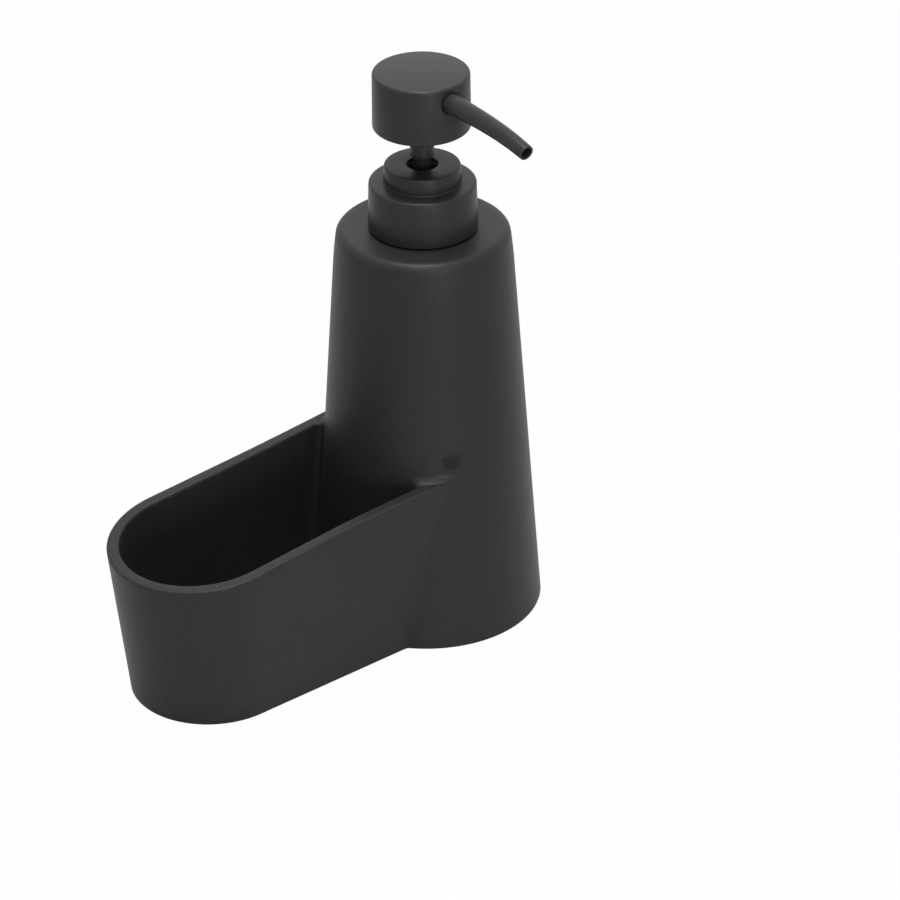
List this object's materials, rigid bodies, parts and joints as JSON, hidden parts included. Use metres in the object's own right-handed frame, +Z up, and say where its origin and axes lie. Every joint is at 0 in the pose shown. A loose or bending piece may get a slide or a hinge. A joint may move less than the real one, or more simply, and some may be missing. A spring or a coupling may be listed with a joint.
{
  "type": "soap dispenser",
  "caption": "Matt black countertop soap dispenser: a tapered bottle with a lotion pump, cast in one piece with an open caddy for a sponge or scourer.",
  "frame": {"origin": "on the bottle's axis, on the surface that the dispenser stands on", "axes": "+Z up, the caddy lies along -X from the bottle, the spout points along -Y at rest"},
  "size_m": [0.152, 0.0875, 0.1842],
  "materials": {
    "body_black": "matt, very finely grained, like painted or dyed cast resin",
    "pump_black": "satin, moulded",
    "white_plastic": "moulded, natural white",
    "clear_plastic": "moulded, milky and half clear",
    "soft_rubber": "soft, dull",
    "bright_steel": "bright stainless wire and ball"
  },
  "bodies": {
    "body": {"body_shell": "body_black", "bottle_pad": "soft_rubber", "caddy_pad": "soft_rubber", "neck_insert": "white_plastic"},
    "pump": {"housing_gasket": "soft_rubber", "upper_ring": "pump_black", "lock_ring": "pump_black", "stem_wiper": "soft_rubber", "pump_housing": "clear_plastic", "ball_cage": "white_plastic", "return_spring": "bright_steel", "dip_tube": "clear_plastic"},
    "closure": {"closure_cap": "white_plastic", "collar_cover": "pump_black"},
    "inlet_ball": {"ball_valve": "bright_steel"},
    "piston": {"piston_seal": "white_plastic"},
    "head": {"piston_rod": "white_plastic", "pump_stem": "pump_black", "head_shell": "pump_black", "head_core": "pump_black", "spout_tube": "pump_black"}
  },
  "joints": [
    {"name": "pump_lift", "type": "slide", "parent": "body", "child": "pump", "axis": [0, 0, 1], "range_m": [0, 0.15]},
    {"name": "collar_unscrew", "type": "hinge", "parent": "pump", "child": "closure", "pos_m": [0, 0, 0.1323], "axis": [0, 0, 1], "range_deg": [0, 450]},
    {"name": "inlet_ball_lift", "type": "slide", "parent": "pump", "child": "inlet_ball", "axis": [0, 0, 1], "range_m": [0, 0.001]},
    {"name": "pump_press", "type": "slide", "parent": "pump", "child": "piston", "axis": [0, 0, -1], "range_m": [0, 0.0115], "stiffness_N_per_m": 900, "springref_m": -0.008, "deforming": ["return_spring"]},
    {"name": "spout_swivel", "type": "hinge", "parent": "piston", "child": "head", "pos_m": [0, 0, 0.17665], "axis": [0, 0, 1], "continuous": true}
  ]
}
